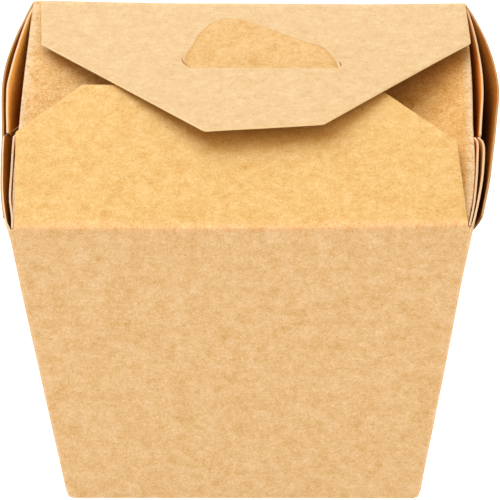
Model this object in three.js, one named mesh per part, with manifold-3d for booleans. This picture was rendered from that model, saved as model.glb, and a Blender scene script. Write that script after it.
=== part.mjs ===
// A shut fold-top noodle box of plain kraft board, folded from one sheet.
// Millimetres, +Z up, front towards -Y. The origin is the middle of the base, on the table.
import * as THREE from "three";
import { mergeVertices } from "three/addons/utils/BufferGeometryUtils.js";
import Module from "manifold-3d";

const wasm = await Module();
wasm.setup();

// Driving dimensions of the carton
const BOARD = 0.45; // thickness of the sheet
const RIM_WIDTH = 96.5; // between the two side folds at their ends
const RIM_DEPTH = 81.7; // between the front and the back fold
const RIM_HEIGHT = 84.1; // top of the front and back folds
const BASE_WIDTH = 78.5;
const BASE_DEPTH = 63.7;
const CORNER_RADIUS = 0.5; // upright corners between two panels
const EDGE_RADIUS = 0.4; // folds round the base and along the side flaps
const FOLD_RADIUS = 0.9; // front and back folds of the rim
const FOLD_PROUD = 0.15; // how far a rim fold stands out from its panel and above its flap
const SIDE_BOW = 1.3; // how far the side folds belly out at mid depth

// The closing flaps: how steeply each rises from its fold, and its outline as [x, distance from the fold]
const FRONT_FLAP_TILT = THREE.MathUtils.degToRad(4.7);
const FRONT_FLAP_LEFT = [[-47.6, 0.5], [-48.6, 29.5], [-35.4, 45.2]];
const FRONT_FLAP_RIGHT = [[28.7, 45.2], [45.3, 28.1], [47.6, 0.5]];
const BACK_FLAP_TILT = THREE.MathUtils.degToRad(7.2);
const BACK_FLAP = [[48.2, 0.5], [49.4, 18.9], [17.2, 54.7], [-8.3, 57.9], [-45.1, 20.1], [-46.2, 0.5]];

// The locking tongue of the front flap, which comes up through the slit and lies on the back flap.
// Its neck is measured from the front fold, and its points are [x, distance from the back fold].
const NECK_ROOT = 45.2;
const NECK_REACH = 51.5;
const TONGUE_LEFT = [-12.3, 30.3]; // where it leaves the slit
const TONGUE_LEFT_HANDLES = [[-14.6, 25.7], [-10.5, 7.9]];
const TONGUE_CREST = [-3.6, 7.9]; // the point nearest to the back fold
const TONGUE_TOP_HANDLES = [[1, 7.9], [5, 14.5]];
const TONGUE_SHOULDER = [14.5, 19.9]; // the end of its slanting top edge
const TONGUE_RIGHT_HANDLES = [[17.6, 21.2], [19.6, 24.7]];
const TONGUE_RIGHT = [20.4, 30.3]; // where it goes back into the slit

// The corner webs, folded flat over the outside of the two side panels, innermost ply first.
// A ply runs up along a diagonal crease from the foot of its corner, and some are cut back again near the rim.
// Its layer counts the boards below it, at the front and at the back of the side panel.
const WEB_FOOT = 0.03; // height of the lowest point, as a share of the rim height
const WEB_FLUSH = 0.25; // share of the height over which the plies come out of the panel's plane
const WEB_RISE = 0.4; // share of the height below which the plies are glued down
const WEB_REACH = 0.95; // share of the depth that the crease reaches at the rim
const WEB_CUT = 0.42; // share of the depth lost for each share of height along a cut top
const WEB_SWELL_SKEW = 0.75; // puts the widest place a little behind the middle
const PLIES = [
  { corner: "front", layer: [0, 0], reach: 0.4, swell: { left: 0.6, right: 1.1 } },
  { corner: "back", layer: [0, 0], reach: 0.58, swell: { left: 2.9, right: 1.9 } },
  { corner: "front", layer: [1, 1], reach: 0.4, swell: { left: 1.9, right: 2.1 } },
  { corner: "back", layer: [2, 1], reach: WEB_REACH, swell: { left: 3.6, right: 4.9 } },
];

const SIDE_TOP = RIM_HEIGHT - BOARD; // top of the side flaps, which the front and back flaps lie over
const BITE = 0.1; // overlap that fuses touching pieces into one solid
const WELD = 1e-4; // distance within which two vertices are one
const PLY_PITCH = BOARD - BITE; // from one glued ply to the next
const { lerp } = THREE.MathUtils;

// Widths of the tapered body at a share of its height
const halfWidth = (height) => lerp(BASE_WIDTH, RIM_WIDTH, height) / 2;
const halfDepth = (height) => lerp(BASE_DEPTH, RIM_DEPTH, height) / 2;

// How far a side panel bellies out; across runs from -1 at the front corner to 1 at the back corner
const sideBow = (across, height) => SIDE_BOW * height ** 2 * (1 - across ** 2);

// Sends every vertex of a geometry to a new place
function reshape(geometry, place) {
  const positions = geometry.attributes.position;
  for (let i = 0; i < positions.count; i++) {
    positions.setXYZ(i, ...place(positions.getX(i), positions.getY(i), positions.getZ(i)));
  }
  return geometry;
}

// A closed geometry as a solid that can be joined to others
function solidOf(geometry) {
  const bare = geometry.clone().deleteAttribute("normal").deleteAttribute("uv");
  const merged = mergeVertices(bare, WELD);
  return new wasm.Manifold(
    new wasm.Mesh({
      numProp: 3,
      vertProperties: new Float32Array(merged.attributes.position.array),
      triVerts: new Uint32Array(merged.index.array),
    }),
  );
}

// The joined solid as a geometry, without any pocket that the joining has sealed
function geometryOf(solid) {
  const [whole] = solid.decompose().sort((a, b) => b.volume() - a.volume());
  const mesh = whole.getMesh();
  const geometry = new THREE.BufferGeometry();
  geometry.setAttribute("position", new THREE.BufferAttribute(mesh.vertProperties, mesh.numProp));
  geometry.setIndex(new THREE.BufferAttribute(mesh.triVerts, 1));
  geometry.computeVertexNormals();
  return geometry;
}

// The rim's outline with rounded corners and enough points along the sides for them to belly out
function rimOutline() {
  const sideSteps = 10;
  const quarter = Math.PI / 2;
  const r = CORNER_RADIUS;
  const x = RIM_WIDTH / 2 - r;
  const y = RIM_DEPTH / 2 - r;
  const shape = new THREE.Shape();
  for (const [side, start] of [[1, 0], [-1, 2]]) {
    shape.absarc(side * x, -side * y, r, (start - 1) * quarter, start * quarter);
    for (let i = 1; i < sideSteps; i++) {
      shape.lineTo(side * (x + r), side * lerp(-y, y, i / sideSteps));
    }
    shape.absarc(side * x, side * y, r, start * quarter, (start + 1) * quarter);
  }
  return shape;
}

// The tapered body with the side flaps as its top
function body() {
  const geometry = new THREE.ExtrudeGeometry(rimOutline(), {
    depth: SIDE_TOP - 2 * EDGE_RADIUS,
    steps: 8,
    curveSegments: 3,
    bevelThickness: EDGE_RADIUS,
    bevelSize: EDGE_RADIUS,
    bevelOffset: -EDGE_RADIUS,
    bevelSegments: 2,
  });
  geometry.translate(0, 0, EDGE_RADIUS);
  return reshape(geometry, (x, y, z) => {
    const height = z / SIDE_TOP;
    const across = (2 * y) / RIM_DEPTH;
    const outward = (2 * x) / RIM_WIDTH;
    return [outward * (halfWidth(height) + sideBow(across, height)), across * halfDepth(height), z];
  });
}

// The rounded fold along the front (-1) or the back (1) of the rim
function rimFold(end) {
  const sides = 16;
  const fold = new THREE.CylinderGeometry(FOLD_RADIUS, FOLD_RADIUS, RIM_WIDTH - CORNER_RADIUS, sides);
  fold.rotateZ(Math.PI / 2);
  const inset = FOLD_RADIUS - FOLD_PROUD;
  return fold.translate(0, end * (RIM_DEPTH / 2 - inset), RIM_HEIGHT - FOLD_RADIUS);
}

// A flat piece of board that rises from the fold at the front (-1) or the back (1), lifted off its plane
function flap(shape, end, tilt, lift) {
  const plate = new THREE.ExtrudeGeometry(shape, { depth: BOARD, bevelEnabled: false, curveSegments: 8 });
  plate.translate(0, 0, lift - BOARD);
  plate.rotateX(-end * tilt);
  return plate.translate(0, (end * RIM_DEPTH) / 2, RIM_HEIGHT);
}

// An outline of straight cuts, given as [x, distance from the fold]
const cutOutline = (corners, end) =>
  new THREE.Shape(corners.map(([x, reach]) => new THREE.Vector2(x, -end * reach)));

// The front flap with the neck that runs on to the slit
function frontFlapOutline() {
  const neck = [
    [TONGUE_LEFT[0], NECK_ROOT],
    [TONGUE_LEFT[0], NECK_REACH],
    [TONGUE_RIGHT[0], NECK_REACH],
    [TONGUE_RIGHT[0], NECK_ROOT],
  ];
  return cutOutline([...FRONT_FLAP_LEFT, ...neck, ...FRONT_FLAP_RIGHT], -1);
}

// The tongue's rounded, lopsided outline behind the slit
function tongueOutline() {
  const flat = ([x, reach]) => [x, -reach];
  const curves = [
    [...TONGUE_LEFT_HANDLES, TONGUE_CREST],
    [...TONGUE_TOP_HANDLES, TONGUE_SHOULDER],
    [...TONGUE_RIGHT_HANDLES, TONGUE_RIGHT],
  ];
  const shape = new THREE.Shape();
  shape.moveTo(...flat(TONGUE_LEFT));
  for (const curve of curves) {
    shape.bezierCurveTo(...curve.flatMap(flat));
  }
  return shape;
}

// One ply of a corner web on the left (-1) or right (1) side panel
function webPly({ corner, layer, reach, swell }, side) {
  const columns = 10;
  const rows = 9;
  const peak = side < 0 ? swell.left : swell.right;
  const grid = new THREE.BoxGeometry(1, 1, 1, columns, rows, 1);
  return reshape(grid, (x, y, z) => {
    const height = lerp(WEB_FOOT, 1, y + 0.5);
    const along = 0.5 + side * x; // 0 at the ply's front end, 1 at its back end
    const span = Math.min(WEB_REACH * height, reach + (1 - height) * WEB_CUT);
    const fromFront = corner === "front" ? along * span : 1 - (1 - along) * span;
    const across = 2 * fromFront - 1;
    const lifted = Math.max(0, (height - WEB_RISE) / (1 - WEB_RISE)) ** 2;
    const belly = peak * lifted * Math.sin(Math.PI * (1 - fromFront) ** WEB_SWELL_SKEW);
    const emerged = Math.min(1, (height - WEB_FOOT) / WEB_FLUSH);
    const stacked = (lerp(layer[0], layer[1], fromFront) + 1) * PLY_PITCH * emerged;
    const standOff = stacked + belly + (z - 0.5) * BOARD - BITE / 2;
    const outward = halfWidth(height) + sideBow(across, height) + standOff;
    return [side * outward, across * halfDepth(height), height * SIDE_TOP];
  });
}

// The whole carton, every panel, flap and web joined into the one sheet that it is
function carton() {
  const pieces = [
    body(),
    rimFold(-1),
    rimFold(1),
    flap(frontFlapOutline(), -1, FRONT_FLAP_TILT, -FOLD_PROUD),
    flap(cutOutline(BACK_FLAP, 1), 1, BACK_FLAP_TILT, -FOLD_PROUD),
    flap(tongueOutline(), 1, BACK_FLAP_TILT, BOARD - BITE - FOLD_PROUD),
  ];
  for (const side of [-1, 1]) {
    pieces.push(...PLIES.map((ply) => webPly(ply, side)));
  }
  const joined = pieces.map(solidOf).reduce((whole, piece) => whole.add(piece));
  const kraft = new THREE.MeshStandardMaterial({ color: 0xd6a56b, roughness: 0.85, metalness: 0 });
  const mesh = new THREE.Mesh(geometryOf(joined), kraft);
  mesh.name = "carton";
  return mesh;
}

const noodleBox = new THREE.Group();
noodleBox.add(carton());

export default noodleBox;
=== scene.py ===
"""A shut fold-top noodle box of plain kraft board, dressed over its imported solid.

The box is one sheet of board. Each visible stretch of it is folded here from a flat grid of
cells, in millimetres, and then given the thickness of the board. Front is towards -Y.
"""

import logging
import math
from abc import ABC, abstractmethod
from bisect import bisect_right
from collections.abc import Sequence
from dataclasses import dataclass, field
from enum import Enum
from itertools import accumulate
from typing import Any

import bmesh
import bpy
from mathutils import Matrix, Vector, noise


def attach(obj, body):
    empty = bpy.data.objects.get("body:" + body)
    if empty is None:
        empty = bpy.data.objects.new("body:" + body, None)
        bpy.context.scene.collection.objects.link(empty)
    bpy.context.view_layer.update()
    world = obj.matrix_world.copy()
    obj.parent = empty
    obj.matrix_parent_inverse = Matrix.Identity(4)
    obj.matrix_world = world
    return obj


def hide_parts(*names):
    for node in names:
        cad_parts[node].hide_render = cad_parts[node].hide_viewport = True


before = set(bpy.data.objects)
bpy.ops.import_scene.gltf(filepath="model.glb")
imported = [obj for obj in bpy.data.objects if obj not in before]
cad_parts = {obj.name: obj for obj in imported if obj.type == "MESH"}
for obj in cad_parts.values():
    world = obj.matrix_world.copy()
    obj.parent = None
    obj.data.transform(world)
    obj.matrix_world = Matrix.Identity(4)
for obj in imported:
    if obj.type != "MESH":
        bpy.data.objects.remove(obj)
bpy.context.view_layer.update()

LOG = logging.getLogger("noodle_box")
MM = 0.001
BODY = "root"
NODE = "carton"

Outline = Sequence[tuple[float, float]]
Colour = tuple[float, float, float]
Socket = bpy.types.NodeSocket


def lerp(start: float, end: float, share: float) -> float:
    """The value that lies a share of the way from start to end."""
    return start + (end - start) * share


def smooth(low: float, high: float, value: float) -> float:
    """A soft step from 0 at low to 1 at high."""
    share = min(1.0, max(0.0, (value - low) / (high - low)))
    return share * share * (3.0 - 2.0 * share)


def flowing(knots: Sequence[float], values: Sequence[float], at: float) -> float:
    """Reads a smooth curve through given values.

    Args:
        knots: where the values are given, in rising order.
        values: the value at each knot.
        at: where to read the curve; its end values hold beyond its ends.

    Returns:
        The value there.
    """
    if at <= knots[0]:
        return values[0]
    if at >= knots[-1]:
        return values[-1]
    i = bisect_right(knots, at) - 1

    def slope(k: int) -> float:
        """Slope of the curve at one knot."""
        before, after = max(k - 1, 0), min(k + 1, len(knots) - 1)
        return (values[after] - values[before]) / (knots[after] - knots[before])

    width = knots[i + 1] - knots[i]
    t = (at - knots[i]) / width
    start = values[i] * (1.0 + 2.0 * t) * (1.0 - t) ** 2 + slope(i) * width * t * (1.0 - t) ** 2
    return start + values[i + 1] * (3.0 - 2.0 * t) * t**2 - slope(i + 1) * width * (1.0 - t) * t**2


class Zone(Enum):
    """The stretches of a sheet, across or along its folds."""

    BASE = "base"
    BASE_FOLD = "base fold"
    PANEL = "panel"
    RIM_FOLD = "rim fold"
    FLAP = "flap"
    CORNER = "corner"
    WING = "wing"


class Side(Enum):
    """The left or the right of the box, seen from the front."""

    LEFT = -1
    RIGHT = 1


class End(Enum):
    """The front or the back of the box."""

    FRONT = -1
    BACK = 1


@dataclass(frozen=True)
class Station:
    """One line of cell corners.

    Attributes:
        zone: the zone that it lies in.
        share: its share of that zone.
        out: how far out it lies, seen along the fold.
        up: how high it lies, or how far from its fold along a flap.
    """

    zone: Zone
    share: float
    out: float = 0.0
    up: float = 0.0


@dataclass(frozen=True)
class Spot:
    """Where one cell corner goes.

    Attributes:
        at: its place, in millimetres.
        pallor_and_painted_light: how pale the outer face is painted there: paler by nature or rubbed, lighter
            with a painted highlight on folds and corners, darker with painted shade where it runs below 0.
        pocket: how deep in a pocket between two plies the inner face is there, from 0 to 1, and so how much
            painted shade it takes.
    """

    at: Vector
    pallor_and_painted_light: float = 0.0
    pocket: float = 0.0


@dataclass(frozen=True)
class BoxSizes:
    """Driving sizes of the carton, in millimetres.

    Attributes:
        board: thickness of the sheet.
        ply_pitch: from one folded ply to the next.
        foot_round: radius with which the two sides round in to the base.
        side_bow: how far the side folds belly out at mid depth.
        rack: how far the box is out of square, sideways for each step back.
        twist: how far its rim is out of flat.
    """

    board: float = 0.45
    ply_pitch: float = 0.54
    rim_half_width: float = 48.21
    base_half_width: float = 38.1
    rim_depth: float = 81.7
    base_depth: float = 63.7
    rim_height: float = 84.1
    corner_radius: float = 0.8
    base_fold: float = 0.7
    foot_round: float = 1.4
    side_fold: float = 0.4
    side_bow: float = 1.3
    rack: float = 0.0159
    twist: float = -1.93e-4

    @property
    def side_top(self) -> float:
        """Top of the side flaps, which the front and back flaps lie over."""
        return self.rim_height - self.board

    @property
    def web_plies(self) -> float:
        """Thickness of a folded web on a side panel."""
        return 2.0 * self.ply_pitch

    def side_half_width(self, height: float) -> float:
        """Half the width between the two side panels at a share of the height."""
        return lerp(self.base_half_width, self.rim_half_width, height)

    def half_depth(self, height: float) -> float:
        """Half the depth between the front and back panels at a share of the height."""
        return lerp(self.base_depth, self.rim_depth, height) / 2.0

    def bow(self, across: float, height: float) -> float:
        """How far a side panel bellies out; across runs from -1 at the front corner to 1 at the back."""
        return self.side_bow * height**2 * (1.0 - across**2)

    def foot_share(self, up: float) -> float:
        """Share of its width that the box keeps at a height, where its sides are rounded in to the base."""
        share = min(1.0, max(0.0, 1.0 - up / self.foot_round))
        return 1.0 - self.foot_round * (1.0 - math.sqrt(1.0 - share**2)) / self.base_half_width

    def settle(self, spot: Vector) -> Vector:
        """Lets a true spot go a little out of square and out of flat, as the carton stands."""
        x, y, z = spot
        return Vector((x + self.rack * y, y, z + self.twist * x * y * z / self.rim_height))


@dataclass(frozen=True)
class Pattern:
    """A noise pattern.

    Attributes:
        cells: pattern cells to the metre along each axis.
        octaves: octaves of finer noise.
        roughness: strength of each octave against the one before.
    """

    cells: Colour
    octaves: float
    roughness: float = 0.6


@dataclass
class NodeKit:
    """Short ways to add pattern nodes to one material."""

    tree: bpy.types.NodeTree
    place: Socket = field(init=False)

    def __post_init__(self) -> None:
        """Adds the coordinates that every pattern reads."""
        self.place = self.node("ShaderNodeTexCoord", {}).outputs["Object"]

    def node(self, kind: str, inputs: dict[str | int, Any], **traits: Any) -> bpy.types.Node:
        """Adds one node.

        Args:
            kind: its type.
            inputs: for each input, the value that it is set to or the socket that it is linked from.
            traits: its other settings, which are made first.

        Returns:
            The node.
        """
        made = self.tree.nodes.new(kind)
        for trait, value in traits.items():
            setattr(made, trait, value)
        for slot, value in inputs.items():
            if isinstance(value, Socket):
                self.tree.links.new(value, made.inputs[slot])
            else:
                made.inputs[slot].default_value = value
        return made

    def noise(self, pattern: Pattern) -> Socket:
        """Adds a noise pattern.

        Args:
            pattern: what it is like.

        Returns:
            The noise, about 0 on average.
        """
        spread = self.node("ShaderNodeMapping", {"Vector": self.place, "Scale": pattern.cells})
        look = {"Scale": 1.0, "Detail": pattern.octaves, "Roughness": pattern.roughness}
        texture = self.node("ShaderNodeTexNoise", {"Vector": spread.outputs[0], **look})
        return self.scaled(texture.outputs[0], 2.0, -1.0)

    def scaled(self, value: Socket, factor: float, base: float | Socket) -> Socket:
        """Multiplies a value and adds a base, which is a number or another value."""
        terms = {0: value, 1: factor, 2: base}
        return self.node("ShaderNodeMath", terms, operation="MULTIPLY_ADD").outputs[0]

    def ramp(self, value: Socket, low: float, high: float) -> Socket:
        """A soft step of a value from 0 at low to 1 at high."""
        limits = {"Value": value, "From Min": low, "From Max": high}
        return self.node("ShaderNodeMapRange", limits, interpolation_type="SMOOTHSTEP").outputs[0]

    def blend(self, share: Socket, start: Colour, end: Colour) -> Socket:
        """Blends two colours, also beyond either of them."""
        parts = {"A": (*start, 1.0), "B": (*end, 1.0), "Factor": share}
        return self.node("ShaderNodeMix", parts, data_type="RGBA", clamp_factor=False).outputs["Result"]

    def attribute(self, name: str) -> Socket:
        """Reads a value that the cell corners carry."""
        return self.node("ShaderNodeAttribute", {}, attribute_name=name).outputs["Fac"]

    def fading(self, tint: Colour, times: Socket) -> Socket:
        """A tint laid over itself a number of times, whole or not."""
        return self.node("ShaderNodeGamma", {"Color": (*tint, 1.0), "Gamma": times}).outputs[0]

    def tinted(self, colour: Socket, tint: Socket) -> Socket:
        """Multiplies two colours."""
        return self.node("ShaderNodeVectorMath", {0: colour, 1: tint}, operation="MULTIPLY").outputs[0]

    def dimmed(self, colour: Socket, factor: Socket) -> Socket:
        """Scales a colour by a value."""
        return self.node("ShaderNodeVectorMath", {0: colour, "Scale": factor}, operation="SCALE").outputs[0]


def new_material(
    name: str, roughness: float, specular: float
) -> tuple[bpy.types.Material, bpy.types.Node, NodeKit]:
    """Starts a node material.

    Args:
        name: its name.
        roughness: of its surface.
        specular: strength of its sheen.

    Returns:
        The material, its surface shader and a kit for its nodes.
    """
    made = bpy.data.materials.new(name)
    made.use_nodes = True
    shader = made.node_tree.nodes["Principled BSDF"]
    shader.inputs["Roughness"].default_value = roughness
    shader.inputs["Specular IOR Level"].default_value = specular
    return made, shader, NodeKit(made.node_tree)


@dataclass(frozen=True)
class KraftFinish:
    """Uncoated brown kraft board: mottled pulp, clumped fibres, fine grain and flecks of bark.

    Attributes:
        pulp: the mean colour.
        swing: how far each channel swings between the palest and the deepest pulp.
        pale_tint: what each channel gains for each step of pallor and painted highlight, and loses for each
            step of painted shade.
        mottle: strength of the mottling.
        fibre: strength of the clumps of fibre.
        grain: strength of the finest grain.
        fleck: strength of the flecks.
        gloom: painted shade, what is left of each channel deep in a pocket, where the board has pockets.
        bump: strength of the fibres' relief.
        relief: its depth, in millimetres.
    """

    name: str
    pulp: Colour
    swing: Colour = (0.085, 0.15, 0.28)
    pale_tint: Colour = (1.085, 1.15, 1.28)
    mottle: float = 1.75
    fibre: float = 0.6
    grain: float = 1.45
    fleck: float = 0.25
    gloom: Colour | None = None
    roughness: float = 0.78
    sheen: float = 0.1
    bump: float = 0.2
    relief: float = 0.12

    MEAN_SHARE = 0.5
    MOTTLE = Pattern((330.0, 300.0, 300.0), octaves=6.0, roughness=0.85)
    FIBRE = Pattern((700.0, 900.0, 1100.0), octaves=3.0, roughness=0.7)
    GRAIN = Pattern((2700.0, 2400.0, 2800.0), octaves=2.0, roughness=0.7)
    FLECK = Pattern((1400.0, 1000.0, 1200.0), octaves=1.0)
    FLECK_EDGE = (0.4, 0.6)

    def material(self) -> bpy.types.Material:
        """Makes the node material.

        Returns:
            The finished material.
        """
        made, shader, kit = new_material(self.name, self.roughness, self.sheen)
        share: float | Socket = self.MEAN_SHARE
        for pattern, strength in (
            (self.MOTTLE, self.mottle),
            (self.FIBRE, self.fibre),
            (self.GRAIN, self.grain),
        ):
            share = kit.scaled(kit.noise(pattern), strength, share)
        deep, pale = (
            tuple(channel * (1.0 + sign * swing) for channel, swing in zip(self.pulp, self.swing))
            for sign in (-1.0, 1.0)
        )
        fleck = kit.ramp(kit.noise(self.FLECK), *self.FLECK_EDGE)
        colour = kit.dimmed(kit.blend(share, deep, pale), kit.scaled(fleck, -self.fleck, 1.0))
        # Pallor, with painted highlights on folds and corners and painted shade where the value is negative
        colour = kit.tinted(colour, kit.fading(self.pale_tint, kit.attribute("pallor_and_painted_light")))
        # Painted shade deep in the pockets between plies
        if self.gloom:
            colour = kit.tinted(colour, kit.fading(self.gloom, kit.attribute("pocket")))
        kit.tree.links.new(colour, shader.inputs["Base Color"])
        depth = {"Strength": self.bump, "Distance": self.relief * MM}
        relief = kit.node("ShaderNodeBump", {"Height": share, **depth})
        kit.tree.links.new(relief.outputs[0], shader.inputs["Normal"])
        return made


@dataclass(frozen=True)
class CutEdgeFinish:
    """The edge of the board: raw pulp where it was cut, near the rim, and plain along the webs' creases.

    Attributes:
        cut: the colour of a cut edge.
        gloom: painted shade, what is left of each channel deep in a pocket.
        crease: the colour along a crease.
        lid: how much paler each channel is on a closing flap.
        crease_top: height up to which an edge is a crease, in millimetres.
        cut_bottom: height from which an edge is cut.
        lid_bottom: height from which an edge is a flap's.
        lid_full: height from which it is as pale as it gets.
        fibre: strength of the fibres along the edge.
    """

    name: str
    cut: Colour
    gloom: Colour = (1.0, 1.0, 1.0)
    crease: Colour = (0.50, 0.30, 0.12)
    lid: Colour = (1.0, 1.0, 1.0)
    crease_top: float = 80.0
    cut_bottom: float = 82.3
    lid_bottom: float = 84.6
    lid_full: float = 85.6
    fibre: float = 0.15
    roughness: float = 0.9
    sheen: float = 0.15

    FIBRE = Pattern((1800.0, 1800.0, 5200.0), octaves=2.0)

    def material(self) -> bpy.types.Material:
        """Makes the node material.

        Returns:
            The finished material.
        """
        made, shader, kit = new_material(self.name, self.roughness, self.sheen)
        height = kit.node("ShaderNodeSeparateXYZ", {0: kit.place}).outputs["Z"]
        share = kit.ramp(height, self.crease_top * MM, self.cut_bottom * MM)
        paling = kit.ramp(height, self.lid_bottom * MM, self.lid_full * MM)
        fibres = kit.scaled(kit.noise(self.FIBRE), self.fibre, 1.0)
        colour = kit.dimmed(kit.blend(share, self.crease, self.cut), fibres)
        # Painted shade on edges deep in the pockets
        colour = kit.tinted(colour, kit.fading(self.gloom, kit.attribute("pocket")))
        colour = kit.tinted(colour, kit.fading(self.lid, paling))
        kit.tree.links.new(colour, shader.inputs["Base Color"])
        return made


@dataclass(frozen=True)
class Dress:
    """The finishes of one stretch of board."""

    face: bpy.types.Material
    inside: bpy.types.Material
    edge: bpy.types.Material


@dataclass(frozen=True)
class FoldPath:
    """A line of straight runs joined by rounded bends.

    Attributes:
        corners: where the runs would meet without rounding, with both ends.
        zones: the zone of each run.
        bends: the zone and the radius of each bend between two runs.
    """

    corners: Outline
    zones: Sequence[Zone]
    bends: Sequence[tuple[Zone, float]]

    def stations(self, run_steps: Sequence[int], bend_steps: int) -> list[Station]:
        """Lays stations along the line.

        Args:
            run_steps: steps along each straight run.
            bend_steps: steps round each bend.

        Returns:
            The stations in order.
        """
        points = [Vector(corner) for corner in self.corners]
        trims = [0.0]
        for i, (_, radius) in enumerate(self.bends, 1):
            turn = (points[i] - points[i - 1]).angle(points[i + 1] - points[i])
            trims.append(radius * math.tan(turn / 2.0))
        trims.append(0.0)
        rows: list[Station] = []
        for i, (zone, steps) in enumerate(zip(self.zones, run_steps)):
            along = (points[i + 1] - points[i]).normalized()
            start = points[i] + along * trims[i]
            stop = points[i + 1] - along * trims[i + 1]
            if rows:
                rows += self._bend(self.bends[i - 1], rows[-1], start, along, bend_steps)
            for step in range(steps + 1):
                spot = start.lerp(stop, step / steps)
                rows.append(Station(zone, step / steps, spot.x, spot.y))
        return rows

    @staticmethod
    def _bend(
        bend: tuple[Zone, float], last: Station, stop: Vector, along: Vector, steps: int
    ) -> list[Station]:
        """Lays the stations round one bend.

        Args:
            bend: its zone and radius.
            last: the station before it.
            stop: where it ends.
            along: the direction of the next run.
            steps: steps round it.

        Returns:
            The stations between the two runs.
        """
        zone, radius = bend
        begin = Vector((last.out, last.up))
        left = Vector((-along.y, along.x))
        centre = stop + left * math.copysign(radius, -(stop - begin).dot(left))
        turn = (begin - centre).angle_signed(stop - centre)
        rows = []
        for step in range(1, steps):
            spot = centre + Matrix.Rotation(-turn * step / steps, 2) @ (begin - centre)
            rows.append(Station(zone, step / steps, spot.x, spot.y))
        return rows


class Stretch(ABC):
    """A stretch of the sheet, laid out as a flat grid of cells before it is folded."""

    @property
    @abstractmethod
    def cells(self) -> tuple[int, int]:
        """Cells across and along the grid."""

    @abstractmethod
    def place(self, column: int, row: int) -> Spot:
        """Tells where one cell corner goes.

        Args:
            column: its place across the grid.
            row: its place along the grid.

        Returns:
            The spot that it goes to.
        """

    def keep(self, column: int, row: int) -> bool:
        """Tells whether a cell is board, and not waste."""
        return True


@dataclass
class Board:
    """The sheet that the whole box is folded from.

    Attributes:
        ripple: the waves in it, as (height, width).
        flat_foot: heights between which the waves begin, so that the box stands flat.
        cut_round: how far its cut edges are rounded.
        cut_angle: the least angle of a cut edge, in degrees.
        crease_angle: the least angle of a crease that shows as a line, in degrees.
    """

    sizes: BoxSizes
    ripple: Outline = ((0.12, 24.0), (0.05, 9.0))
    flat_foot: tuple[float, float] = (0.5, 8.0)
    cut_round: float = 0.07
    cut_angle: float = 50.0
    crease_angle: float = 38.0

    HALF_GRID = 0.5

    def fold(self, name: str, stretch: Stretch, dress: Dress, outward: Vector) -> bpy.types.Object:
        """Folds a stretch of the sheet into place and gives it the board's thickness.

        Args:
            name: the piece's name.
            stretch: tells where its cells go.
            dress: its finishes.
            outward: a direction that its outer face looks along on the whole.

        Returns:
            The finished piece, riding on the box.
        """
        columns, rows = stretch.cells
        half = self.HALF_GRID
        made = bmesh.new()
        bmesh.ops.create_grid(made, x_segments=columns, y_segments=rows, size=half)
        # Per corner: pallor with painted highlights and painted shade, and painted shade deep in the pockets
        pallor_and_painted_light = made.verts.layers.float.new("pallor_and_painted_light")
        pocket = made.verts.layers.float.new("pocket")
        waste = []
        for cell in made.faces:
            middle = cell.calc_center_median()
            column, row = math.floor((middle.x + half) * columns), math.floor((middle.y + half) * rows)
            if not stretch.keep(column, row):
                waste.append(cell)
        for corner in made.verts:
            column, row = round((corner.co.x + half) * columns), round((corner.co.y + half) * rows)
            spot = stretch.place(column, row)
            corner.co = self.sizes.settle(spot.at)
            corner[pallor_and_painted_light], corner[pocket] = spot.pallor_and_painted_light, spot.pocket
        bmesh.ops.delete(made, geom=waste, context="FACES")
        made.normal_update()
        if sum((cell.normal * cell.calc_area() for cell in made.faces), Vector()).dot(outward) < 0.0:
            bmesh.ops.reverse_faces(made, faces=made.faces)
            made.normal_update()
        self._wave(made)
        bmesh.ops.scale(made, vec=(MM, MM, MM), verts=made.verts)
        return self._thicken(name, made, dress)

    def _wave(self, sheet: bmesh.types.BMesh) -> None:
        """Lets a folded sheet wander a little off its planes, as card does.

        Args:
            sheet: its outer face, in millimetres.
        """
        for corner in sheet.verts:
            drift = sum(height * noise.noise(corner.co / width) for height, width in self.ripple)
            corner.co += corner.normal * drift * smooth(*self.flat_foot, corner.co.z)

    def _thicken(self, name: str, sheet: bmesh.types.BMesh, dress: Dress) -> bpy.types.Object:
        """Turns a folded sheet into a closed piece of board.

        Args:
            name: the piece's name.
            sheet: its outer face.
            dress: its finishes.

        Returns:
            The piece, riding on the box.
        """
        mesh = bpy.data.meshes.new(name)
        sheet.to_mesh(mesh)
        sheet.free()
        for finish in (dress.face, dress.inside, dress.edge):
            mesh.materials.append(finish)
        piece = bpy.data.objects.new(name, mesh)
        bpy.context.scene.collection.objects.link(piece)
        board = piece.modifiers.new("board", "SOLIDIFY")
        board.thickness = self.sizes.board * MM
        board.offset = -1.0
        board.use_even_offset = True
        board.material_offset = 1
        board.material_offset_rim = 2
        soften = piece.modifiers.new("soft cut", "BEVEL")
        soften.width = self.cut_round * MM
        soften.segments = 2
        soften.limit_method = "ANGLE"
        soften.angle_limit = math.radians(self.cut_angle)
        finished = bpy.data.meshes.new_from_object(
            piece.evaluated_get(bpy.context.evaluated_depsgraph_get())
        )
        piece.modifiers.clear()
        piece.data = finished
        finished.name = name
        for corner in finished.vertices:
            corner.co.x *= self.sizes.foot_share(corner.co.z / MM)
        finished.shade_smooth()
        finished.set_sharp_from_angle(angle=math.radians(self.crease_angle))
        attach(piece, BODY)
        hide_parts(NODE)
        LOG.info("%s: %d faces", name, len(finished.polygons))
        return piece


@dataclass(frozen=True)
class RimLine:
    """The line that a web ply follows along the rim.

    Attributes:
        points: the ply's outer face, as (share of the depth from the front, half width of the box).
        flare: how suddenly the ply opens towards the rim.
        shade: how dark the ply's inner face is at the rim already.
        gloom: share of the height over which the light in its pocket fails.
    """

    points: Outline
    flare: float = 2.0
    shade: float = 0.0
    gloom: float = 0.3

    def at(self, from_front: float) -> float:
        """Half width to the ply at a share of the depth."""
        return flowing([share for share, _ in self.points], [out for _, out in self.points], from_front)


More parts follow.
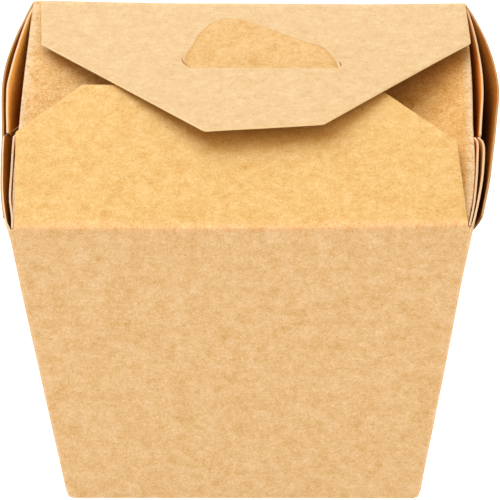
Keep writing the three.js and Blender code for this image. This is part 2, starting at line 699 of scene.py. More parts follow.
@dataclass(frozen=True)
class Webs:
    """The corner webs, folded flat over the outside of the side panels and standing off them at the rim.

    Attributes:
        foot: height of the lowest point, as a share of the rim height.
        rise: share of the height below which the plies are glued down.
        reach: share of the depth that a crease reaches at the rim.
        least: least share of the depth that a ply covers.
        step: shares of the depth between which a ply climbs over the plies of the other corner.
    """

    sizes: BoxSizes
    foot: float = 0.03
    rise: float = 0.4
    reach: float = 0.95
    least: float = 0.02
    step: tuple[float, float] = (0.3, 0.6)

    def span(self, height: float, reach: float, cut: float) -> float:
        """Share of the depth that a ply covers at a share of the height.

        Args:
            height: share of the rim height.
            reach: the ply's own share of the depth at the rim.
            cut: share of the depth gained for each share of height below the rim, along a cut top.

        Returns:
            The share of the depth, from the ply's own corner.
        """
        return min(self.reach * max(height, self.foot), max(self.least, reach + (1.0 - height) * cut))

    def lifted(self, height: float, rim: RimLine) -> float:
        """How far a ply has come towards its rim line at a share of the height, from 0 to 1."""
        return max(0.0, (height - self.rise) / (1.0 - self.rise)) ** rim.flare

    @staticmethod
    def pocket(height: float, rim: RimLine) -> float:
        """How dark a ply is inside its pocket at a share of the height."""
        return lerp(rim.shade, 1.0, min(1.0, (1.0 - height) / rim.gloom))

    def spot(
        self, side: Side, end: End, run: float, height: float, stack: tuple[float, float], rim: RimLine
    ) -> Vector:
        """Finds a place on a ply's outer face.

        Args:
            side: the side panel that it lies on.
            end: the corner that the ply starts from.
            run: share of the depth, from that corner.
            height: share of the rim height.
            stack: plies from the side panel up to this face, near the corner and past the middle.
            rim: the ply's line along the rim.

        Returns:
            The place, in millimetres.
        """
        size = self.sizes
        from_front = run if end is End.FRONT else 1.0 - run
        across = 2.0 * from_front - 1.0
        layers = lerp(stack[0], stack[1], smooth(*self.step, run)) * size.ply_pitch
        stand_off = rim.at(from_front) - size.side_half_width(1.0) - size.bow(across, 1.0) - layers
        flat = size.side_half_width(height) + size.bow(across, height) + layers
        out = flat + stand_off * self.lifted(height, rim)
        return Vector((side.value * out, across * size.half_depth(height), height * size.side_top))


@dataclass
class EndSheet(Stretch):
    """The front or back of the sheet: base strip, panel, flap, and a web ply wrapped round each corner.

    Attributes:
        end: front or back.
        tilt: how steeply the flap rises from its fold, in degrees.
        edges: the flap's left and right edges as (x, distance from the fold), corner by corner to its tip.
        rims: the rim lines of the wrapped plies.
        reach: share of the depth that a wrapped ply covers at the rim, with its gain below.
        stack: plies from the side panel up to a wrapped ply's face, near the corner and past the middle.
        base_reach: how far the base strip runs back from the fold.
        rim_fold: radius of the fold along the rim.
        bow: how far the rim bellies out.
        panel_pallor: how much paler the panel is painted than the flap.
        rub_and_highlight: how pale the fold along the rim is, rubbed and with a painted highlight where its
            rounding catches the light.
        pale_arc: share of a half wave in which that paleness rises and falls over the fold.
        pale_rest: share of it that is left on the flap's first line.
        corner_highlight: how pale the upright corners are painted, a painted highlight along their rounding.
        arch: how far the flap is arched along its length.
        corner_round: radius of the flap's corners.
        base_inset: how much narrower the base strip is than the base, at each side.
        base_opens: shares of the base strip between which it comes to its full width.
        fold_opens: shares of the rim fold between which the panel's width becomes the flap's.
        least_wing: least width of a wrapped ply, in radii of the corner.
        strip_steps: cells along the base strip, the panel and the flap's first bit.
        edge_steps: cells along the flap's edges, its slants and its tip.
    """

    sizes: BoxSizes
    webs: Webs
    end: End
    tilt: float
    edges: dict[Side, Outline]
    rims: dict[Side, RimLine]
    reach: dict[Side, tuple[float, float]]
    stack: tuple[float, float]
    base_reach: float
    rim_fold: float
    bow: float
    panel_pallor: float = 0.0
    rub_and_highlight: float = 0.6
    corner_highlight: float = 1.0
    pale_arc: float = 0.75
    pale_rest: float = 0.75
    arch: float = 0.3
    corner_round: float = 1.2
    base_inset: float = 1.5
    base_opens: tuple[float, float] = (0.9, 1.0)
    fold_opens: tuple[float, float] = (0.0, 0.5)
    least_wing: float = 1.5
    face_columns: int = 60
    corner_columns: int = 4
    wing_columns: int = 24
    strip_steps: tuple[int, int, int] = (4, 40, 1)
    fold_steps: int = 7
    edge_steps: tuple[int, int, int] = (14, 20, 1)
    corner_steps: int = 6
    rows: list[Station] = field(init=False)
    flap: dict[Side, list[Station]] = field(init=False)

    # Length of the flap's first bit, which only gives the rim fold its turn
    FLAP_BIT = 9.0

    def __post_init__(self) -> None:
        """Works out the lines of the strip from the base over the panel to the tip of the flap."""
        size = self.sizes
        slope = math.radians(self.tilt)
        foot = (size.base_depth / 2.0, 0.0)
        rim = Vector((size.rim_depth / 2.0, size.rim_height))
        path = FoldPath(
            corners=[
                (foot[0] - self.base_reach, 0.0),
                foot,
                tuple(rim),
                tuple(rim + self.FLAP_BIT * Vector((-math.cos(slope), math.sin(slope)))),
            ],
            zones=[Zone.BASE, Zone.PANEL, Zone.FLAP],
            bends=[(Zone.BASE_FOLD, size.base_fold), (Zone.RIM_FOLD, self.rim_fold)],
        )
        strip = path.stations(self.strip_steps, self.fold_steps)[:-2]
        self.flap = {side: self._flap_edge(side) for side in Side}
        count = len(self.flap[Side.LEFT])
        self.rows = strip + [Station(Zone.FLAP, i / (count - 1)) for i in range(count)]

    def _flap_edge(self, side: Side) -> list[Station]:
        """Follows one edge of the flap, its corners a little rounded, up to the cut across its tip.

        Args:
            side: left or right.

        Returns:
            The stations along it.
        """
        other = Side(-side.value)
        corners = [*self.edges[side], self.edges[other][-1]]
        path = FoldPath(corners, [Zone.FLAP] * 3, [(Zone.FLAP, self.corner_round)] * 2)
        return path.stations(self.edge_steps, self.corner_steps)[:-1]

    @property
    def cells(self) -> tuple[int, int]:
        """Cells across and along the grid."""
        return self.columns, len(self.rows) - 1

    @property
    def columns(self) -> int:
        """Cells across the whole grid, wings included."""
        return self.face_columns + 2 * (self.corner_columns + self.wing_columns)

    def column(self, index: int) -> tuple[Zone, Side, float]:
        """Tells where a line of cell corners lies across the sheet.

        Args:
            index: counted from the tip of the left wing.

        Returns:
            Its zone, its side, and its share of the zone, outwards from the middle of the box.
        """
        middle = self.columns / 2.0
        side = Side.LEFT if index < middle else Side.RIGHT
        steps = abs(index - middle)
        if steps <= self.face_columns / 2.0:
            return Zone.PANEL, side, steps / (self.face_columns / 2.0)
        steps -= self.face_columns / 2.0
        if steps <= self.corner_columns:
            return Zone.CORNER, side, steps / self.corner_columns
        return Zone.WING, side, (steps - self.corner_columns) / self.wing_columns

    def keep(self, column: int, row: int) -> bool:
        """Tells whether a cell is board: only the panel has corners and wings.

        Args:
            column: the cell's place across the grid.
            row: its place along the grid.

        Returns:
            Whether it is kept.
        """
        across, _, _ = self.column(column if column < self.columns / 2.0 else column + 1)
        if across is Zone.PANEL:
            return True
        return self.rows[row].zone is Zone.PANEL and self.rows[row + 1].zone is Zone.PANEL

    def place(self, column: int, row: int) -> Spot:
        """Tells where one cell corner goes.

        Args:
            column: its place across the grid.
            row: its place along the grid.

        Returns:
            The spot that it goes to.
        """
        across, side, share = self.column(column)
        line = self.rows[row]
        pallor_and_painted_light = self._pallor(line)
        if line.zone is Zone.FLAP:
            index = row - len(self.rows) + len(self.flap[side])
            return Spot(self._on_flap(side, share, index), pallor_and_painted_light)
        if across is Zone.PANEL:
            return Spot(self._on_strip(side, share, line), pallor_and_painted_light)
        # Painted highlight along the rounded upright corners
        if across is Zone.CORNER:
            pallor_and_painted_light += self.corner_highlight
        pocket = self.webs.pocket(line.share, self.rims[side])
        return Spot(self._round_corner(across, side, share, line), pallor_and_painted_light, pocket)

    def _pallor(self, line: Station) -> float:
        """Tells how pale a line is painted: rubbed and with a painted highlight over its fold, and paler over
        the panel.

        Args:
            line: a line of cell corners.

        Returns:
            Its pallor, with the fold's painted highlight.
        """
        if line.zone is Zone.RIM_FOLD:
            # Rub and painted highlight over the fold
            rub_and_highlight = self.rub_and_highlight * math.sin(self.pale_arc * math.pi * line.share)
            return lerp(self.panel_pallor, 0.0, line.share) + rub_and_highlight
        if line.zone is Zone.FLAP:
            return self.pale_rest * self.rub_and_highlight if line.share == 0.0 else 0.0
        return self.panel_pallor

    def _panel_half_width(self, side: Side, height: float) -> float:
        """Works out half the panel's width, out to the face of the wrapped ply.

        Args:
            side: left or right.
            height: share of the rim height.

        Returns:
            The half width.
        """
        rim = self.rims[side]
        plain = self.sizes.side_half_width(1.0) + self.sizes.web_plies
        pinch = rim.at(0.5 + 0.5 * self.end.value) - plain
        flat = self.sizes.side_half_width(height) + self.sizes.web_plies
        return flat + pinch * self.webs.lifted(height, rim)

    def _on_strip(self, side: Side, share: float, line: Station) -> Vector:
        """Finds a spot on the base strip, the panel or a fold between them.

        Args:
            side: left or right.
            share: share of the half width, from the middle.
            line: the line that it lies on.

        Returns:
            The place, in millimetres.
        """
        size = self.sizes
        height = min(1.0, max(0.0, line.up / size.rim_height))
        width = self._panel_half_width(side, height) - size.corner_radius
        if line.zone is Zone.BASE:
            inset = size.base_half_width - self.base_inset
            width = lerp(inset, width, smooth(*self.base_opens, line.share))
        elif line.zone is Zone.RIM_FOLD:
            width = lerp(width, abs(self.edges[side][0][0]), smooth(*self.fold_opens, line.share))
        bulge = self.bow * height**2 * (1.0 - share**2)
        return Vector((side.value * share * width, self.end.value * (line.out + bulge), line.up))

    def over_flap(self, x: float, reach: float, lift: float = 0.0) -> Vector:
        """Finds a spot over the closing flap.

        Args:
            x: sideways.
            reach: distance from the fold, along the flap.
            lift: height above its outer face.

        Returns:
            The place, in millimetres.
        """
        slope = math.radians(self.tilt)
        along = min(1.0, reach / self.flap[Side.LEFT][-1].up)
        share = x / self.sizes.side_half_width(1.0)
        bulge = self.bow * (1.0 - share**2) * (1.0 - along)
        out = self.sizes.rim_depth / 2.0 - reach * math.cos(slope) + bulge - lift * math.sin(slope)
        up = self.sizes.rim_height + reach * math.sin(slope) + self.arch * math.sin(math.pi * along)
        return Vector((x, self.end.value * out, up + lift * math.cos(slope)))

    def _on_flap(self, side: Side, share: float, index: int) -> Vector:
        """Finds a spot on the closing flap, between matching stations of its left and right edges.

        Args:
            side: left or right of the middle.
            share: share of the half width, from the middle.
            index: which stations.

        Returns:
            The place, in millimetres.
        """
        left, right = (self.flap[which][index] for which in Side)
        across = (1.0 + side.value * share) / 2.0
        return self.over_flap(lerp(left.out, right.out, across), lerp(left.up, right.up, across))

    def _round_corner(self, across: Zone, side: Side, share: float, line: Station) -> Vector:
        """Finds a spot on the rounded upright corner or on the web ply that runs on from it.

        Args:
            across: the corner or the wing.
            side: left or right.
            share: share of that zone, from the panel.
            line: the line that it lies on.

        Returns:
            The place, in millimetres.
        """
        size = self.sizes
        height = line.share
        radius = size.corner_radius
        if across is Zone.CORNER:
            angle = share * math.pi / 2.0
            x = self._panel_half_width(side, line.up / size.rim_height) - radius * (1.0 - math.sin(angle))
            y = line.out - radius * (1.0 - math.cos(angle))
            return Vector((side.value * x, self.end.value * y, line.up))
        near = radius / (2.0 * size.half_depth(height))
        span = max(near * self.least_wing, self.webs.span(height, *self.reach[side]))
        return self.webs.spot(side, self.end, lerp(near, span, share), height, self.stack, self.rims[side])


@dataclass
class SideSheet(Stretch):
    """A side of the sheet: base strip, side panel and the side flap that lies lowest in the roof.

    Attributes:
        side: left or right.
        base_reach: how far the base strip runs in from the fold.
        flap_reach: length of the flap.
        flap_taper: how far each end of the flap is cut back at its tip.
        droop: how steeply the flap sinks from its fold, as (place, degrees); a place runs from -1 at the
            front to 1 at the back.
        sag_reach: how far in from its fold it goes on sinking.
        fullness: how far the side bellies out against the plain box.
        swell: how far its front half bellies out further.
        swollen: places between which that belly rises, and between which it falls again.
        heel: how far the flap's back end is pressed up into the back fold.
        heel_start: the place and the share of the height from which it is pressed up.
        pale_band: width of the pale band along the flap's fold.
        rub_and_highlight: how pale that band is, rubbed and with a painted highlight where the fold catches
            the light.
        pallor_and_painted_light: how pale the whole side is painted; below 0 it is darker with painted shade.
        covered: shares of the height between which the webs come to cover the panel, which takes painted
            shade behind them.
        fold_gloom: share of the rim fold over which that painted shade ends.
    """

    sizes: BoxSizes
    side: Side
    base_reach: float = 1.5
    flap_reach: float = 38.0
    flap_taper: float = 8.0
    droop: Outline = ((-1.0, 0.0), (1.0, 0.0))
    sag_reach: float = 20.0
    fullness: float = 1.0
    swell: float = 0.0
    swollen: tuple[float, float, float, float] = (-1.0, -0.7, -0.5, -0.05)
    heel: float = 0.35
    heel_start: tuple[float, float] = (0.85, 0.95)
    pale_band: float = 2.0
    rub_and_highlight: float = 2.4
    pallor_and_painted_light: float = 0.0
    covered: tuple[float, float] = (0.55, 0.7)
    fold_gloom: float = 0.3
    columns: int = 40
    strip_steps: tuple[int, int, int] = (2, 24, 48)
    fold_steps: int = 9
    rows: list[Station] = field(init=False)

    def __post_init__(self) -> None:
        """Works out the lines of the strip from the base over the panel to the tip of the flap."""
        size = self.sizes
        foot = size.side_half_width(0.0)
        rim = Vector((size.side_half_width(1.0), size.side_top))
        path = FoldPath(
            corners=[
                (foot - self.base_reach, 0.0),
                (foot, 0.0),
                tuple(rim),
                tuple(rim - Vector((self.flap_reach, 0.0))),
            ],
            zones=[Zone.BASE, Zone.PANEL, Zone.FLAP],
            bends=[(Zone.BASE_FOLD, size.base_fold), (Zone.RIM_FOLD, size.side_fold)],
        )
        self.rows = path.stations(self.strip_steps, self.fold_steps)

    @property
    def cells(self) -> tuple[int, int]:
        """Cells across and along the grid."""
        return self.columns, len(self.rows) - 1

    def _sag(self, across: float, share: float) -> float:
        """Tells how far a place on the flap lies below its fold."""
        slope = flowing([at for at, _ in self.droop], [degrees for _, degrees in self.droop], across)
        return min(share * self.flap_reach, self.sag_reach) * math.tan(math.radians(slope))

    def place(self, column: int, row: int) -> Spot:
        """Tells where one cell corner goes.

        Args:
            column: its place across the grid.
            row: its place along the grid.

        Returns:
            The spot that it goes to.
        """
        size = self.sizes
        line = self.rows[row]
        across = 2.0 * column / self.columns - 1.0
        height = min(1.0, max(0.0, line.up / size.side_top))
        depth = size.half_depth(height) - size.board
        back, top = self.heel_start
        up = line.up + self.heel * smooth(back, 1.0, across) * smooth(top, 1.0, height)
        # Paler side, or a side darkened with painted shade where the value is negative
        pallor_and_painted_light = self.pallor_and_painted_light
        # Painted shade on the panel behind the webs
        pocket = smooth(*self.covered, height)
        rising, full, falling, over = self.swollen
        swell = self.swell * smooth(rising, full, across) * (1.0 - smooth(falling, over, across))
        bow = size.bow(across, height) * self.fullness + swell * height**2
        if line.zone is Zone.FLAP:
            depth -= self.flap_taper * line.share
            bow *= 1.0 - line.share
            up -= self._sag(across, line.share)
            # Rub and painted highlight along the flap's fold
            pallor_and_painted_light += self.rub_and_highlight * (1.0 - smooth(0.0, self.pale_band, line.share * self.flap_reach))
            pocket = 0.0
        elif line.zone is Zone.RIM_FOLD:
            # Rub and painted highlight over the fold, with painted shade just under it
            pallor_and_painted_light += self.rub_and_highlight
            pocket = 1.0 - smooth(0.0, self.fold_gloom, line.share)
        return Spot(Vector((self.side.value * (line.out + bow), across * depth, up)), pallor_and_painted_light, pocket)


@dataclass
class InnerPly(Stretch):
    """The inner ply of a corner web, between the side panel and the ply that wraps round the corner.

    Attributes:
        side: the side panel that it lies on.
        end: the corner that it starts from.
        reach: share of the depth that it covers at the rim, with its gain below.
        stack: plies from the side panel up to its face, near the corner and past the middle.
        rim: its line along the rim.
        inset: how far from the corner it starts.
    """

    webs: Webs
    side: Side
    end: End
    reach: tuple[float, float]
    stack: tuple[float, float]
    rim: RimLine
    inset: float = 0.65
    columns: int = 24
    rows: int = 40

    @property
    def cells(self) -> tuple[int, int]:
        """Cells across and along the grid."""
        return self.columns, self.rows

    def place(self, column: int, row: int) -> Spot:
        """Tells where one cell corner goes.

        Args:
            column: its place across the grid.
            row: its place along the grid.

        Returns:
            The spot that it goes to.
        """
        height = lerp(self.webs.foot, 1.0, row / self.rows)
        near = self.inset / (2.0 * self.webs.sizes.half_depth(height))
        run = lerp(near, self.webs.span(height, *self.reach), column / self.columns)
        at = self.webs.spot(self.side, self.end, run, height, self.stack, self.rim)
        return Spot(at, pocket=self.webs.pocket(height, self.rim))


@dataclass
class Tongue(Stretch):
    """The locking tongue: up through the slit from below, then flat on the back flap.

    Attributes:
        back: the sheet with the flap that it lies on.
        left: the left edge from the slit to the crest, as (x, distance from the back fold).
        right: the right edge from the slit to the crest.
        neck: how far the tongue is built below the flap, in front of the slit.
        ease: how far behind the slit it lies flat.
        edge_shade: how much darker the tongue is painted along its cut edges, a painted shade line where the
            edge stands off the flap.
        clearance: how far it lies off the flap.
        drop: how far its neck sinks below the flap.
    """

    sizes: BoxSizes
    back: EndSheet
    left: Outline = (
        (-12.3, 30.7), (-13.45, 27.7), (-12.0, 21.1), (-10.35, 15.0), (-8.1, 10.8), (-5.7, 8.7), (-2.7, 8.35),
    )
    right: Outline = (
        (20.3, 30.7), (19.6, 28.1), (18.3, 25.0), (16.4, 21.6), (14.0, 20.2), (9.6, 17.2), (4.2, 13.0),
        (0.35, 10.0), (-2.2, 8.35),
    )
    edge_shade: float = 1.6
    neck: float = 7.0
    ease: float = 5.0
    clearance: float = 0.12
    drop: float = 1.0
    neck_rows: int = 8
    columns: int = 30
    rows: int = 52

    @property
    def cells(self) -> tuple[int, int]:
        """Cells across and along the grid."""
        return self.columns, self.rows

    @staticmethod
    def _along(edge: Outline, share: float) -> Vector:
        """Finds a point along a smooth edge.

        Args:
            edge: points on it.
            share: share of its length.

        Returns:
            The point, as x and the distance from the back fold.
        """
        points = [Vector(point) for point in edge]
        steps = [(b - a).length for a, b in zip(points, points[1:])]
        knots = list(accumulate(steps, initial=0.0))
        return Vector([flowing(knots, [point[i] for point in points], share * knots[-1]) for i in range(2)])

    def place(self, column: int, row: int) -> Spot:
        """Tells where one cell corner goes.

        Args:
            column: its place across the grid.
            row: its place along the grid.

        Returns:
            The spot that it goes to.
        """
        across = column / self.columns
        slit = self.left[0][1]
        share = (row - self.neck_rows) / (self.rows - self.neck_rows)
        start, stop = (self._along(edge, max(0.0, share)) for edge in (self.left, self.right))
        x, reach = start.lerp(stop, across)
        if share < 0.0:
            below = 1.0 - row / self.neck_rows
            return Spot(self.back.over_flap(x, slit + self.neck * below, -self.drop * below))
        lift = (self.sizes.board + self.clearance) * smooth(0.0, self.ease, slit - reach)
        # Painted shade along the tongue's cut edges
        at_cut = column in (0, self.columns) or row == self.rows
        return Spot(self.back.over_flap(x, reach, lift), -self.edge_shade if at_cut else 0.0)


@dataclass
class SlitShadow(Stretch):
    """One open end of the slit: a thin dark crescent laid on the back flap beside the tongue, a painted
    shadow for the opening of the cut.

    Attributes:
        back: the sheet with the flap that is slit.
        line: its middle line as (x, distance from the back fold).
        width: at its middle.
        proud: how far it stands out of the board, so that it shows.
    """

    back: EndSheet
    line: Outline
    width: float = 0.36
    proud: float = 0.03
    columns: int = 16

    @property
    def cells(self) -> tuple[int, int]:
        """Cells across and along the grid."""
        return self.columns, 1

    def place(self, column: int, row: int) -> Spot:
        """Tells where one cell corner goes.

        Args:
            column: its place across the grid.
            row: its place along the grid.

        Returns:
            The spot that it goes to.
        """
        share = column / self.columns
        points = [Vector(point) for point in self.line]
        knots = [i / (len(points) - 1) for i in range(len(points))]
        x, reach = (flowing(knots, [point[i] for point in points], share) for i in range(2))
        aside = (row - 0.5) * self.width * math.sin(math.pi * share)
        return Spot(self.back.over_flap(x + aside, reach, self.proud))


@dataclass
class NoodleBox:
    """The whole carton, folded sheet by sheet.

    Attributes:
        front_tilt: how steeply the front flap rises, in degrees.
        back_tilt: how steeply the back flap rises.
    """

    sizes: BoxSizes = field(default_factory=BoxSizes)
    front_tilt: float = 4.7
    back_tilt: float = 7.2

    # Where the outer faces look: straight up, or outwards and a little up
    UPWARD = Vector((0.0, 0.0, 1.0))
    LEAN = 0.3

    # The board's outer and inner faces and its edges
    FRONT_BOARD = KraftFinish("kraft_front", pulp=(0.537, 0.43, 0.209), pale_tint=(1.09, 1.085, 1.225))
    # The board's colour with the white sheen that the back flap catches at its low angle painted in: paler,
    # bluer pulp and a weaker mottle
    BACK_BOARD = KraftFinish(
        "kraft_back", pulp=(0.503, 0.445, 0.3), swing=(0.085, 0.15, 0.2), mottle=1.2, grain=0.85
    )
    # Its gloom paints shade on the side panels behind the webs and on the plies deep in their pockets
    SIDE_BOARD = KraftFinish(
        "kraft_side", pulp=(0.515, 0.378, 0.18), pale_tint=(1.015, 1.13, 1.43), mottle=2.5, grain=2.5,
        gloom=(0.05, 0.02, 0.01),
    )
    # The inner faces' bright orange pulp paints light bounced between the plies; their gloom paints the shade
    # deep in the pockets
    INSIDE = KraftFinish("kraft_inside", pulp=(0.85, 0.52, 0.14), gloom=(0.05, 0.012, 0.003), sheen=0.0)
    PLY_INSIDE = KraftFinish("kraft_ply_inside", pulp=(1.0, 0.57, 0.15), gloom=(0.2, 0.012, 0.001), sheen=0.0)
    TONGUE_BOARD = KraftFinish("kraft_tongue", pulp=(0.495, 0.393, 0.207))
    # A dark strip paints the shadow inside each open end of the slit
    SLIT_SHADOW = KraftFinish("painted_slit_shadow", pulp=(0.25, 0.155, 0.09))
    PALE_EDGE = CutEdgeFinish("kraft_cut", cut=(0.57, 0.50, 0.38))
    # Their gloom paints shade on the edges deep in the pockets
    PLAIN_EDGE = CutEdgeFinish("kraft_plain_cut", cut=(0.7, 0.52, 0.3), gloom=(0.07, 0.05, 0.03))
    BACK_EDGE = CutEdgeFinish(
        "kraft_back_cut", cut=(0.7, 0.52, 0.3), gloom=(0.12, 0.11, 0.09), lid=(1.22, 1.7, 2.4)
    )

    # The closing flaps' edges, as (x, distance from the fold)
    FRONT_EDGES = {
        Side.LEFT: [(-47.74, 0.9), (-49.1, 29.9), (-35.4, 45.6)],
        Side.RIGHT: [(48.1, 0.9), (45.9, 26.8), (29.2, 44.2)],
    }
    BACK_EDGES = {
        Side.LEFT: [(-46.44, 0.9), (-45.23, 19.9), (-8.17, 57.8)],
        Side.RIGHT: [(48.35, 0.9), (49.3, 18.94), (17.26, 54.9)],
    }

    # Share of the depth that the shorter web plies cover at the rim, with its gain below
    FRONT_REACH = {Side.LEFT: (0.395, 1.85), Side.RIGHT: (0.39, 0.42)}
    BACK_REACH = {Side.LEFT: (0.59, -0.9), Side.RIGHT: (0.6, 0.42)}

    # The plies' lines along the rim
    FRONT_INNER = {
        Side.LEFT: RimLine(
            ((0.0, 48.5), (0.05, 48.7), (0.13, 49.5), (0.25, 49.7), (0.4, 49.95), (0.7, 49.8)), shade=0.2
        ),
        Side.RIGHT: RimLine(
            ((0.0, 48.6), (0.1, 49.7), (0.2, 50.25), (0.355, 50.75), (0.375, 50.6), (0.39, 50.1)), shade=0.2
        ),
    }
    FRONT_OUTER = {
        Side.LEFT: RimLine(
            ((0.0, 49.29), (0.05, 50.2), (0.15, 51.2), (0.25, 51.7), (0.4, 52.2), (0.6, 52.3),
             (0.8, 51.5)),
            flare=10.0, shade=0.35,
        ),
        Side.RIGHT: RimLine(
            ((0.0, 49.29), (0.1, 50.5), (0.2, 51.4), (0.3, 51.95), (0.35, 52.0), (0.375, 51.65),
             (0.39, 50.9)),
            shade=0.2,
        ),
    }
    BACK_INNER = {
        Side.LEFT: RimLine(
            ((0.2, 50.4), (0.4, 51.4), (0.49, 51.95), (0.56, 52.25), (0.615, 52.42), (0.65, 52.25),
             (0.74, 51.55), (0.83, 50.6), (0.92, 49.35), (1.0, 48.0)),
            flare=4.0, shade=-0.06, gloom=0.2,
        ),
        Side.RIGHT: RimLine(
            ((0.2, 50.7), (0.4, 51.35), (0.5, 51.75), (0.6, 52.0), (0.7, 51.75), (0.8, 51.05),
             (0.9, 50.0), (1.0, 48.6)),
            shade=0.12, gloom=0.2,
        ),
    }
    BACK_OUTER = {
        Side.LEFT: RimLine(
            ((0.05, 50.4), (0.15, 51.35), (0.25, 51.85), (0.39, 52.35), (0.5, 52.95), (0.62, 53.45),
             (0.71, 53.15), (0.785, 52.3), (0.86, 51.1), (0.93, 49.65), (1.0, 48.4)),
            shade=0.35,
        ),
        Side.RIGHT: RimLine(
            ((0.05, 51.4), (0.18, 52.8), (0.32, 53.85), (0.46, 54.85), (0.6, 55.45), (0.72, 54.6),
             (0.83, 52.9), (0.91, 51.1), (1.0, 48.8)),
            shade=0.3,
        ),
    }

    # How each side flap lies, and how pale it is painted: the right one darker with painted shade
    SIDE_TRAITS = {
        Side.LEFT: {
            "droop": ((-1.0, 0.0), (-0.4, 3.0), (0.1, 4.0), (0.6, -3.0), (1.0, 0.0)),
            "fullness": 0.6,
            "swell": 0.3,
            "rub_and_highlight": 1.5,
            "pallor_and_painted_light": 0.2,
        },
        Side.RIGHT: {
            "droop": ((-1.0, 1.0), (-0.4, 3.5), (0.1, 12.0), (0.6, 8.0), (1.0, 6.0)),
            "fullness": 1.15,
            "swell": 0.55,
            "pallor_and_painted_light": -0.5,
        },
    }

    # The slit's open ends, where thin dark strips paint the shadow in the cut, as (x, distance from the back
    # fold)
    SLIT_ENDS = {
        Side.LEFT: ((-14.1, 26.1), (-13.85, 27.6), (-13.35, 28.95), (-12.3, 30.3)),
        Side.RIGHT: ((20.3, 27.7), (20.75, 29.0), (20.8, 30.2)),
    }

    def build(self) -> None:
        """Folds every stretch of the sheet."""
        board = Board(self.sizes)
        webs = Webs(self.sizes)
        inside = self.INSIDE.material()
        pale = self.PALE_EDGE.material()
        # Painted shadow for the slit's open ends
        slit_shade = self.SLIT_SHADOW.material()
        front = self._front(webs)
        back = self._back(webs)
        for name, sheet, dress in (
            ("front_sheet", front, Dress(self.FRONT_BOARD.material(), inside, pale)),
            ("back_sheet", back, Dress(self.BACK_BOARD.material(), inside, self.BACK_EDGE.material())),
        ):
            board.fold(name, sheet, dress, Vector((0.0, sheet.end.value, self.LEAN)))
        ply_dress = Dress(self.SIDE_BOARD.material(), self.PLY_INSIDE.material(), pale)
        for side in Side:
            self._side(board, webs, side, ply_dress)
            # A painted shadow at each open end of the slit
            slit_shadow = SlitShadow(back, self.SLIT_ENDS[side])
            board.fold(f"slit_shadow_{side.name.lower()}", slit_shadow, Dress(slit_shade, slit_shade, slit_shade), self.UPWARD)
        tongue_dress = Dress(self.TONGUE_BOARD.material(), inside, self.PLAIN_EDGE.material())
        board.fold("tongue", Tongue(self.sizes, back), tongue_dress, self.UPWARD)

    def _front(self, webs: Webs) -> EndSheet:
        """Lays out the front of the sheet, with the whole base.

        Args:
            webs: how its plies run.

        Returns:
            The front.
        """
        return EndSheet(
            self.sizes, webs, End.FRONT, self.front_tilt, edges=self.FRONT_EDGES, rims=self.FRONT_OUTER,
            reach=self.FRONT_REACH, stack=(2.0, 2.0), base_reach=62.0, rim_fold=0.9, bow=0.8,
            panel_pallor=1.4, rub_and_highlight=1.6,
        )

    def _back(self, webs: Webs) -> EndSheet:
        """Lays out the back of the sheet, whose wrapped plies cover the side panels up to their creases.

        Args:
            webs: how its plies run.

        Returns:
            The back.
        """
        return EndSheet(
            self.sizes, webs, End.BACK, self.back_tilt, edges=self.BACK_EDGES, rims=self.BACK_OUTER,
            reach={side: (webs.reach, 1.0) for side in Side}, stack=(2.0, 4.0), base_reach=0.9,
            rim_fold=0.35, bow=-0.6,
        )

    def _side(self, board: Board, webs: Webs, side: Side, dress: Dress) -> None:
        """Folds one side of the sheet and the two inner plies that lie on it.

        Args:
            board: the sheet that they are folded from.
            webs: how the plies run.
            side: left or right.
            dress: their finishes.
        """
        label = side.name.lower()
        outward = Vector((side.value, 0.0, self.LEAN))
        sheet = SideSheet(self.sizes, side, **self.SIDE_TRAITS[side])
        board.fold(f"side_sheet_{label}", sheet, dress, outward)
        for end, reach, stack, rims in (
            (End.FRONT, self.FRONT_REACH, (1.0, 1.0), self.FRONT_INNER),
            (End.BACK, self.BACK_REACH, (1.0, 3.0), self.BACK_INNER),
        ):
            ply = InnerPly(webs, side, end, reach[side], stack, rims[side])
            board.fold(f"web_{end.name.lower()}_{label}", ply, dress, outward)


@dataclass(frozen=True)
class SoftBox:
    """A large square lamp that faces the box.

    Attributes:
        spot: where it hangs, in metres.
        size: of each side, in metres.
        energy: its power, in watts.
    """

    name: str
    spot: Colour
    size: float
    energy: float
    colour: Colour = (1.0, 1.0, 1.0)

    def hang(self) -> None:
        """Puts the lamp in its place."""
        lamp = bpy.data.lights.new(self.name, "AREA")
        lamp.size = self.size
        lamp.energy = self.energy
        lamp.color = self.colour
        box = bpy.data.objects.new(self.name, lamp)
        spot = Vector(self.spot)
        box.location = spot
        box.rotation_euler = (-spot).to_track_quat("-Z", "Y").to_euler()
        bpy.context.scene.collection.objects.link(box)


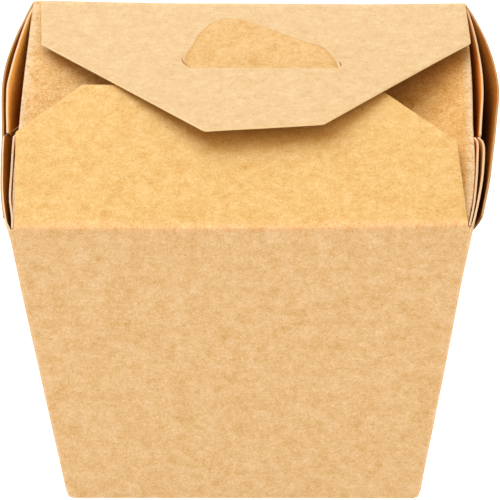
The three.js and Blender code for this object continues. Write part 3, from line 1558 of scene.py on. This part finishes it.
@dataclass(frozen=True)
class Studio:
    """Bright pale floor, weak light all round, two large soft boxes, and the camera in front and above.

    Attributes:
        elevation: how far the camera looks down, in degrees.
        turn: how far it stands to the right, in degrees.
        roll: how far it is tipped, in degrees.
        distance: from the camera to its target, in millimetres.
        focal_px: its focal length, in pixels of the picture.
        frame_px: width of the picture, in pixels.
        sensor: width of its sensor, in millimetres.
        target: what it looks at, in millimetres.
        sky: colour of the light all round.
        floor_size: half a side of the floor, in metres.
        floor_sink: how far it lies below the base, in millimetres.
        floor_glow: how brightly it shines by itself, so that the box's foot isn't dark.
    """

    elevation: float = 38.381
    turn: float = 0.601
    roll: float = -0.338
    distance: float = 1146.0
    focal_px: float = 5165.6
    frame_px: float = 500.0
    sensor: float = 36.0
    target: Colour = (0.985, -0.35, 45.83)
    lamps: Sequence[SoftBox] = (
        SoftBox("soft_box", spot=(-0.37, 0.46, 0.9), size=1.1, energy=11.4),
        SoftBox("fill_box", spot=(0.1, -0.4, 1.2), size=1.4, energy=3.6, colour=(1.0, 0.68, 0.36)),
    )
    sky: Colour = (1.0, 0.62, 0.345)
    sky_strength: float = 1.0
    floor_size: float = 3.0
    floor_sink: float = 0.05
    floor_roughness: float = 0.9
    floor_sheen: float = 0.1
    floor_grey: float = 0.2
    floor_tint: Colour = (1.0, 0.9, 0.83)
    floor_glow: float = 1.3

    def build(self) -> None:
        """Sets up the floor, the light and the camera."""
        self._floor()
        self._light()
        self._camera()
        bpy.context.scene.view_settings.view_transform = "Standard"

    def _floor(self) -> None:
        """Lays a plain glowing floor under the box."""
        made = bmesh.new()
        bmesh.ops.create_grid(made, x_segments=1, y_segments=1, size=self.floor_size)
        bmesh.ops.translate(made, vec=(0.0, 0.0, -self.floor_sink * MM), verts=made.verts)
        mesh = bpy.data.meshes.new("floor")
        made.to_mesh(mesh)
        made.free()
        paint, shader, _ = new_material("pale_floor", self.floor_roughness, self.floor_sheen)
        shader.inputs["Base Color"].default_value = (*[self.floor_grey] * 3, 1.0)
        shader.inputs["Emission Color"].default_value = (*self.floor_tint, 1.0)
        shader.inputs["Emission Strength"].default_value = self.floor_glow
        mesh.materials.append(paint)
        floor = bpy.data.objects.new("floor", mesh)
        bpy.context.scene.collection.objects.link(floor)

    def _light(self) -> None:
        """Lights the box weakly from all round and strongly from the soft boxes."""
        world = bpy.data.worlds.new("studio")
        world.use_nodes = True
        sky = world.node_tree.nodes["Background"]
        sky.inputs["Color"].default_value = (*self.sky, 1.0)
        sky.inputs["Strength"].default_value = self.sky_strength
        bpy.context.scene.world = world
        for lamp in self.lamps:
            lamp.hang()

    def _camera(self) -> None:
        """Places the camera at the photograph's angle."""
        rise, turn, roll = (math.radians(angle) for angle in (self.elevation, self.turn, self.roll))
        back = Vector((math.sin(turn) * math.cos(rise), -math.cos(turn) * math.cos(rise), math.sin(rise)))
        level = Vector((math.cos(turn), math.sin(turn), 0.0))
        upright = back.cross(level)
        right = level * math.cos(roll) + upright * math.sin(roll)
        up = upright * math.cos(roll) - level * math.sin(roll)
        lens = bpy.data.cameras.new("camera")
        lens.sensor_width = self.sensor
        lens.lens = self.focal_px * self.sensor / self.frame_px
        camera = bpy.data.objects.new("camera", lens)
        spot = (Vector(self.target) + back * self.distance) * MM
        turned = Matrix((right, up, back)).transposed().to_4x4()
        camera.matrix_world = Matrix.Translation(spot) @ turned
        bpy.context.scene.collection.objects.link(camera)
        bpy.context.scene.camera = camera


def main() -> None:
    """Builds the box and its studio."""
    logging.basicConfig(level=logging.INFO)
    NoodleBox().build()
    Studio().build()


if __name__ == "__main__":
    main()
